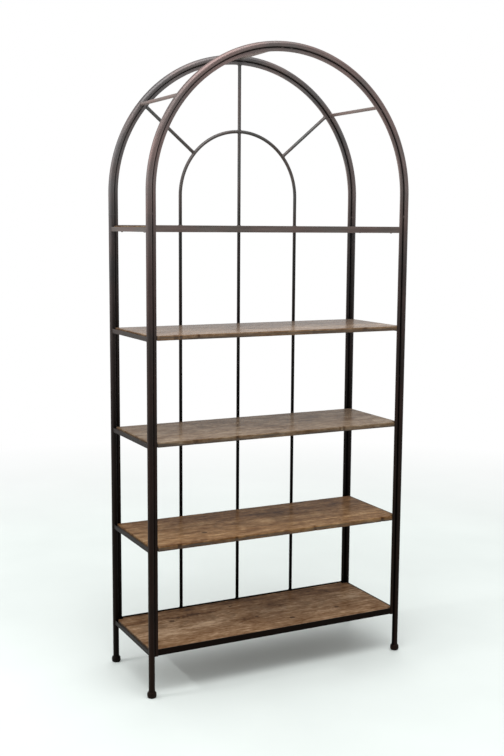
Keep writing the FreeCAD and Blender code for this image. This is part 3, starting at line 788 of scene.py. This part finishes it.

# Each board is glued up from planks, in mm: the joints' places across it, each plank's tone from the front,
# and the pith's place across and up with its drift over half the length. A knot is a place and a radius, a
# stain a place, half a length, half a width and a tone, and a dent a place in front, a width and a depth.
# A tint is partly the board's own tone and partly painted reflection and light: greyer and cooler on the
# higher boards, warmer lower down
boards = {
    "top": {
        "seed": 11, "tint": "#e6e9e0", "joints": (-60, 55), "tones": (0, 0.05, -0.05),
        "pith": (40, -95, 8, 20), "knots": [(-260, 40, 8), (150, -70, 6), (330, 90, 9)],
        "stains": [(-300, 0, 90, 40, -0.25), (80, 40, 120, 30, 0.25), (320, -60, 80, 30, -0.2)],
        "dents": [],
    },
    "upper": {
        "seed": 23, "tint": "#e7e3dd", "joints": (-70, 40), "tones": (0.12, 0, -0.02),
        "pith": (-60, -90, -15, 20), "knots": [(-350, -60, 5), (-90, 80, 6), (400, 60, 5)],
        "stains": [
            (-330, 60, 110, 50, 0.1), (120, -95, 170, 30, 0.3), (390, -90, 90, 30, 0.3),
            (-60, 70, 80, 40, -0.15),
        ],
        "dents": [(-399, 16, 1.6), (-381, 9, 2.2), (-317, 8, 1.8), (120, 12, 0.9), (330, 20, 0.8)],
    },
    "middle": {
        "seed": 37, "tint": "#ebf3f8", "joints": (-82, 35), "tones": (0.05, -0.03, 0),
        "pith": (70, -90, 14, -25), "knots": [(-200, 70, 6), (40, -120, 5), (300, 30, 5)],
        "stains": [
            (-410, -20, 60, 90, 0.15), (30, -82, 120, 14, -0.25), (-120, 95, 90, 30, -0.2),
            (330, -100, 130, 35, 0.2),
        ],
        "dents": [(-172, 11, 2.2), (233, 8, 1.8), (249, 8, 1.8), (-330, 18, 0.9)],
    },
    "lower": {
        "seed": 41, "tint": "#f7e8c9", "joints": (-104, 0), "tones": (0.04, 0.06, -0.1),
        "pith": (-30, -80, 12, 25),
        "knots": [(-252, -79, 9), (-410, 20, 5), (172, 62, 6), (262, -138, 5)],
        "stains": [
            (0, -25, 38, 50, 0.25), (-235, 35, 60, 30, 0.25), (-165, 100, 90, 32, -0.3),
            (310, -98, 95, 12, 0.35), (-440, 20, 40, 90, 0.15), (60, 60, 110, 40, -0.2),
            (350, 70, 100, 25, -0.15), (-330, -172, 110, 14, -0.35),
        ],
        "dents": [(-387, 13, 2.0), (-174, 12, 2.0), (137, 11, 2.0), (421, 12, 2.4), (20, 25, 0.8)],
    },
    "bottom": {
        "seed": 59, "tint": "#f2ebe0", "joints": (-62, 80), "tones": (0, 0.1, -0.1),
        "pith": (25, -85, -14, -30),
        "knots": [(-318, 60, 9), (-285, 82, 6), (92, -96, 9), (297, -68, 8), (-60, 110, 6), (-20, -30, 6)],
        "stains": [
            (-215, -16, 75, 26, 0.5), (-360, -40, 60, 50, 0.3), (-55, -38, 55, 22, -0.45),
            (-220, 84, 95, 14, -0.5), (205, -84, 40, 22, 0.35), (395, 10, 50, 30, 0.4),
            (130, 60, 130, 30, -0.3), (330, 110, 120, 30, -0.25), (-120, -90, 60, 14, 0.3),
            (60, 10, 60, 20, 0.15),
        ],
        "dents": [],
    },
}
grainLook = {
    "pithDrift": ((5 * mm, (0.7, 0.33, 0.16)), (3 * mm, (0.9, 0.41, 0.19))),  # size, lengths
    "tiltReach": 0.5,  # metres over which the pith drifts as given
    "knotLength": 1.25,  # over its width
    "knotPush": (1.5, 2.1),  # how far a knot pushes the rings, and how far out, in its radii
    "knotFree": 0.2,  # metres to a knot where there is none
    "stainDrift": ((28, (61, 37, 23)), (11, (97, 41, 19))),  # size, lengths, in mm
    "stainSkew": 3,  # how many times more their drift changes across than along
    "darkBand": (0.22, 165, 34),  # a darker band along the back: its strength, place and width in mm
    "plankShift": (0.731, 0.317, 0.113),  # metres from one plank's timber to the next
}


# Grid lines through the breaks: even cells between them and finer steps beside each
def gridLines(breaks):
    look, lines = boardLook, [np.array(breaks)]
    for start, end in zip(breaks[:-1], breaks[1:]):
        rim = look["rimSteps"][look["rimSteps"] < (end - start) / 2]
        inner = np.linspace(start, end, max(2, round((end - start) / look["cell"])) + 1)[1:-1]
        clear = np.minimum(inner - start, end - inner) > look["rimClear"] * rim[-1]
        lines += [start + rim, end - rim, inner[clear]]
    return np.unique(np.round(np.concatenate(lines), 7))


# Distance from the nearest side of an outline, whose sides run along X or Y
def outlineDistance(x, y, outline):
    nearest = np.full(np.shape(x), np.inf)
    for (x0, y0), (x1, y1) in zip(outline, outline[1:] + outline[:1]):
        gapX = x - np.clip(x, min(x0, x1), max(x0, x1))
        gapY = y - np.clip(y, min(y0, y1), max(y0, y1))
        nearest = np.minimum(nearest, np.hypot(gapX, gapY))
    return nearest


# Growth rings as distance from the tree's pith, a line below the board that tilts and wanders, pushed out
# round the knots by a bell curve; and the distance to the edge of the nearest knot
def woodGrain(points, board):
    x, y, z = points.T
    pith = []
    for axis, (size, lengths) in enumerate(grainLook["pithDrift"]):
        place, tilt = board["pith"][axis] * mm, board["pith"][axis + 2] * mm
        wander = size * wobble(x, lengths, board["seed"] + axis)
        pith.append(place + tilt * x / grainLook["tiltReach"] + wander)
    ring = np.hypot(y - pith[0], z - pith[1])
    knotGap = np.full(len(x), grainLook["knotFree"])
    push, felt = grainLook["knotPush"]
    for knotX, knotY, radius in board["knots"]:
        away = np.hypot((x - knotX * mm) / grainLook["knotLength"], y - knotY * mm)
        ring = ring + push * radius * mm * bell(away, felt * radius * mm)
        knotGap = np.minimum(knotGap, away - radius * mm)
    return ring, knotGap


# The tone of each point's plank and of the stains, bell curves on long ellipses, and its place in the timber:
# the point itself, moved far off for each plank so that no grain crosses a joint
def plankGrain(points, board):
    plank = np.digitize(points[:, 1], np.array(board["joints"]) * mm)
    tone = np.array(board["tones"])[plank]
    x, y = points[:, 0] / mm, points[:, 1] / mm
    (sizeX, lengthsX), (sizeY, lengthsY) = grainLook["stainDrift"]
    driftX = sizeX * wobble(y + x / grainLook["stainSkew"], lengthsX, board["seed"])
    x, y = x + driftX, y + sizeY * wobble(x, lengthsY, board["seed"] + 6)
    for stainX, stainY, halfLength, halfWidth, strength in board["stains"]:
        tone = tone + strength * bell(x - stainX, halfLength) * bell(y - stainY, halfWidth)
    # a darker band along the back of the board
    strength, place, width = grainLook["darkBand"]
    tone = tone - strength * bell(y - place, width)
    timber = points + (board["seed"] + plank[:, None]) * np.array(grainLook["plankShift"])
    return tone, timber


# A board's outline, notched at the front and, where a frame holds it, at the back too; the grid lines through
# it, its squares, and the points along its outline
def boardGrid(low, high, joints, framed):
    side, row = barInside - boardLook["notchGap"], halfDepth - tubeRadius - boardLook["notchGap"]
    (x0, y0, _), (x1, y1, _) = low, high
    outline = [(x0, -row), (-side, -row), (-side, y0), (side, y0), (side, -row), (x1, -row)]
    if framed:
        outline += [(x1, row), (side, row), (side, y1), (-side, y1), (-side, row), (x0, row)]
    else:
        outline += [(x1, y1), (x0, y1)]
    outline = [(round(float(x), 7), round(float(y), 7)) for x, y in outline]
    xLines = gridLines(sorted({x for x, _ in outline}))
    yLines = gridLines(sorted({y for _, y in outline} | set(joints.tolist())))
    middleX, middleY = ((lines[1:] + lines[:-1]) / 2 for lines in (xLines, yLines))
    notchedRows = middleY < -row
    if framed:
        notchedRows |= middleY > row
    inside = ~((np.abs(middleX) > side)[:, None] & notchedRows)
    index = np.arange(len(xLines) * len(yLines)).reshape(len(xLines), len(yLines))
    squares = np.stack([index[:-1, :-1], index[1:, :-1], index[1:, 1:], index[:-1, 1:]], axis=-1)[inside]
    loop = []
    for start, end in zip(outline, outline[1:] + outline[:1]):
        (i0, j0), (i1, j1) = ((abs(xLines - x).argmin(), abs(yLines - y).argmin()) for x, y in (start, end))
        run = np.arange(max(abs(i1 - i0), abs(j1 - j0)))
        loop.append(index[i0 + np.sign(i1 - i0) * run, j0 + np.sign(j1 - j0) * run])
    return outline, xLines, yLines, squares, np.concatenate(loop)


# A board: top and bottom grids cut to the outline and joined by walls. Its edges drop by radius - half the
# chord of their circle there, and the top has a slight wave, a furrow at each joint and dents in front.
def buildBoard(name, framed):
    look, board = boardLook, boards[name]
    low, high = nodeBox(f"{name}_board")
    front, under, over, seed = low[1], low[2], high[2], board["seed"]
    joints = np.array(board["joints"]) * mm
    outline, xLines, yLines, squares, loop = boardGrid(low, high, joints, framed)
    x, y = (lines.ravel() for lines in np.meshgrid(xLines, yLines, indexing="ij"))
    distance = outlineDistance(x, y, outline)
    least, most = look["arris"]
    arrisSkew, waveSkew = look["skews"]
    radius = least + (most - least) * (0.5 + 0.5 * wobble(x + arrisSkew * y, look["arrisLengths"], seed + 2))
    along, across = look["waveLengths"]
    wave = look["wave"] * (1 + wobble(x + waveSkew * y, along, seed + 3) * wobble(y, across, seed + 4)) / 2
    top = over - wave - (radius - halfChord(radius, np.clip(radius - distance, 0, None)))
    top = top - look["jointDepth"] * bell(np.abs(y[:, None] - joints).min(axis=1), look["jointWidth"])
    arris = look["underArris"]
    bottom = under + arris - halfChord(arris, np.clip(arris - distance, 0, None))
    dent = look["edgeWear"] * (1 + wobble(x, look["edgeLengths"], seed + 5))
    for at, width, depth in board["dents"]:
        dent = dent + depth * mm * bell(x / mm - at, width / 2, 4)
    pushed = dent * np.exp(-(y - front) / look["dentReach"])
    y = y + pushed
    top = top - look["dentDrop"] * pushed

    layers = np.linspace(0, 1, look["wallLayers"] + 2)[1:-1, None]
    wall = pointsAt(x[loop], y[loop], top[loop] + layers * (bottom[loop] - top[loop]))
    points = np.concatenate([pointsAt(x, y, top), pointsAt(x, y, bottom), wall.reshape(-1, 3)])
    inWall = 2 * len(x) + np.arange(layers.size * len(loop)).reshape(-1, len(loop))
    rings = np.concatenate([[loop], inWall, [loop + len(x)]])
    nextRings = np.roll(rings, -1, axis=1)
    walls = np.stack([rings[:-1], rings[1:], nextRings[1:], nextRings[:-1]], axis=-1).reshape(-1, 4)
    faces = np.concatenate([squares, squares[:, ::-1] + len(x), walls])
    used, faces = np.unique(faces, return_inverse=True)
    points, faces = points[used], faces.reshape(-1, 4)

    ring, knotGap = woodGrain(points, board)
    stain, timber = plankGrain(points, board)
    x, y, z = points.T
    for at, width, depth in board["dents"]:
        dark = bell(x / mm - at, width / 2, 4) * np.exp(-(y - front) / look["dentToneReach"])
        stain = stain - look["dentTone"] * depth * dark
    # painted shade down the sides, darker towards the foot, and grime on the top beside its edges
    start, full, extra = look["sideShade"]
    sideShade = np.clip((over - z - start) / full, 0, 1) + extra * (over - z) / (over - under)
    edgeSoil = look["rimSoil"] * np.exp(-outlineDistance(x, y, outline) / look["rimWidth"])
    rim = np.maximum(edgeSoil, sideShade)
    layers = {"ring": ring, "knotGap": knotGap, "rim": rim, "stain": stain, "timber": timber}
    pine, nodes = reclaimedPine(f"reclaimed_pine_{name}", board["tint"]), [f"{name}_board"]
    return finishPiece(f"{name}_plank", points, faces.tolist(), layers, pine, nodes, 40)


for name in shelves:
    plank = buildBoard(name, name in ("top", "bottom"))
    print("board made:", name, len(plank.data.polygons), "faces")

screwLook = {
    "headRadius": 4 * mm, "headHeight": 2.4 * mm, "shankRadius": 2 * mm, "length": 15 * mm,
    "recessRadius": 2.1 * mm, "recessDepth": 1.2 * mm, "recessEdge": 0.5 * mm, "recessMiddle": 0.7 * mm,
    "cross": (2.2, 1.2),  # the cross's slope and level
    "spacing": 210 * mm, "domePower": 0.6, "domeSteps": 12, "columns": 24, "wear": 0.6,
}


# A pan-head screw upside down: a turned profile, with a cross sunk into the head where the cosine of twice
# the angle is large
def screwGrid(place):
    look = screwLook
    head, shank, length = look["headRadius"], look["shankRadius"], look["length"]
    turn = np.linspace(0, np.pi / 2, look["domeSteps"])[:-1]
    dome = np.stack([head * np.sin(turn), -look["headHeight"] * np.cos(turn) ** look["domePower"]], axis=1)
    dome[0, 0] = poleRadius
    profile = np.concatenate([dome, [(head, 0), (shank, 0), (shank, length - shank), (poleRadius, length)]])
    radius, height = profile[:, :1], profile[:, 1:]
    points = turnedPoints(profile, place, look["columns"])
    angle = np.linspace(0, 2 * np.pi, look["columns"], endpoint=False)
    slope, level = look["cross"]
    cross = np.clip(np.abs(np.cos(2 * angle)) * slope - level, 0, 1)
    cross = np.where(radius < look["recessMiddle"], 1, cross)
    inRecess = np.clip((look["recessRadius"] - radius) / look["recessEdge"], 0, 1) * (height < 0)
    points[..., 2] += look["recessDepth"] * inRecess * cross
    return {"points": points, "wear": look["wear"]}


screwGrids = []
for level in shelves:
    low, high = nodeBox(f"{level}_left_rail")
    across = (high[0] + nodeBox(f"{level}_board")[0][0]) / 2
    for side in sides.values():
        for row in rows.values():
            screwGrids.append(screwGrid((-side * across, row * screwLook["spacing"] / 2, low[2])))
buildPiece("pan_head_screws", screwGrids, iron["rail"], ["board_screws"], 30)
print("screws made")

stageLook = {
    "radius": 14.0, "fade": (1.9, 4.2),  # metres
    "columns": 96, "cloudScale": 1.3, "cloudTone": (0.3, 0.7, 0.96, 1.03), "colour": "#dfe6e3",
    "roughness": 0.6,
}


# Pale painted concrete: matt, faintly cloudy, fading into the white surround before it ends
def makeFloor():
    look = stageLook
    ring = circleProfile(look["radius"], look["columns"])
    mesh = bpy.data.meshes.new("floor")
    mesh.from_pydata([(x, y, 0) for x, y in ring], [], [list(range(len(ring)))])
    material, add = emptyTree(bpy.data.materials.new("painted_concrete"))
    place = add("TexCoord").outputs["Object"]
    clouds = add("TexNoise", {"Scale": look["cloudScale"], "Detail": 5}, {"Vector": place})
    tone = add("MapRange", look["cloudTone"], {0: clouds})
    colour = add("Mix", {**multiply, 6: linearColour(look["colour"])}, {7: tone})
    paint = add("BsdfPrincipled", {"Roughness": look["roughness"]}, {"Base Color": colour})
    distance = add("VectorMath", {"operation": "LENGTH"}, {0: place})
    fade = add("MapRange", look["fade"], {0: distance})
    glow = add("Emission", {"Color": white, "Strength": 1.0})
    surface = add("MixShader", {}, {0: fade, 1: paint, 2: glow})
    add("OutputMaterial", {}, {"Surface": surface})
    mesh.materials.append(material)
    floor = addObject("floor", mesh)


worldLook = {
    "brightSide": (0.1, 0.995, 0),  # towards the white side
    "beside": {1: -1.0, 2: 0.0},  # of the part towards it: dim opposite, white from square on
    "above": {1: 0.2, 2: 0.9},  # of the rise: dim near level, white overhead
    "diffuse": (0.4, 1.0),  # of the light on the object, from the dim and the bright side
    "gloss": (0.3, 1.0),  # as polished metal shows the two sides
}


# White for the camera. For all else a room that is dim at one side and white at the other and above: the
# larger of two smooth steps, over the direction's part towards the bright side and over its rise.
def makeWorld():
    look = worldLook
    bpy.context.scene.world, add = emptyTree(bpy.data.worlds.new("studio"))
    rays = add("LightPath")
    direction = add("TexCoord").outputs["Generated"]
    towards = add("VectorMath", {"operation": "DOT_PRODUCT", 1: look["brightSide"]}, {0: direction})
    rise = add("SeparateXYZ", {}, {0: direction}).outputs["Z"]
    beside = add("MapRange", {**smooth, **look["beside"]}, {0: towards})
    above = add("MapRange", {**smooth, **look["above"]}, {0: rise})
    share = add("Math", larger, {0: beside, 1: above})
    diffuse, gloss = (add("MapRange", (0, 1, *look[kind]), {0: share}) for kind in ("diffuse", "gloss"))
    kinds = ("Glossy", "Transmission", "Camera")
    glossy, through, camera = (rays.outputs[f"Is {kind} Ray"] for kind in kinds)
    shiny = add("Math", larger, {0: glossy, 1: through})
    light = add("Mix", {"data_type": "FLOAT"}, {0: shiny, 2: diffuse, 3: gloss})
    strength = add("Mix", {"data_type": "FLOAT", 3: 1.0}, {0: camera, 2: light})
    background = add("Background", {"Color": white}, {"Strength": strength})
    add("OutputWorld", {}, {"Surface": background})


lamps = {
    "overhead": {"place": (-0.4, -1.3, 3.9), "towards": (0, 0, 1.0), "size": (2.4, 1.6), "power": 63},
    "leftStrip": {"place": (-5.8, 0.54, 4.25), "towards": (0, 0, 0.2), "size": (1.3, 0.2), "power": 99},
    "leftFill": {"place": (-4.2, 0.9, 1.1), "towards": (0, 0, 1.0), "size": (1.6, 2.0), "power": 24},
}


def makeLamps():
    for name, look in lamps.items():
        lamp = bpy.data.lights.new(name, "AREA")
        lamp.shape = "RECTANGLE"
        lamp.size, lamp.size_y = look["size"]
        lamp.energy = look["power"]
        holder = addObject(name, lamp)
        holder.visible_camera = False
        holder.location = look["place"]
        aim = Vector(look["towards"]) - Vector(look["place"])
        holder.rotation_euler = aim.to_track_quat("-Z", "Y").to_euler()


cameraLook = {
    "place": (-1.7998, -3.4821, 1.5734),
    "heading": -26.935,  # degrees, turned about Z
    "pitch": 7.804,  # below level
    "roll": 0.380, "lens": 52.63,
}


def makeCamera():
    look = cameraLook
    data = bpy.data.cameras.new("photographView")
    data.lens = look["lens"]
    camera = addObject("photographView", data)
    heading, tilt, roll = np.radians([look["heading"], 90 - look["pitch"], look["roll"]])
    turn = Matrix.Rotation(heading, 4, "Z") @ Matrix.Rotation(tilt, 4, "X") @ Matrix.Rotation(roll, 4, "Z")
    camera.matrix_world = Matrix.Translation(look["place"]) @ turn
    bpy.context.scene.camera = camera


makeFloor()
makeWorld()
makeLamps()
makeCamera()
bpy.context.scene.view_settings.view_transform = "Standard"
print("stage, lamps and camera set")
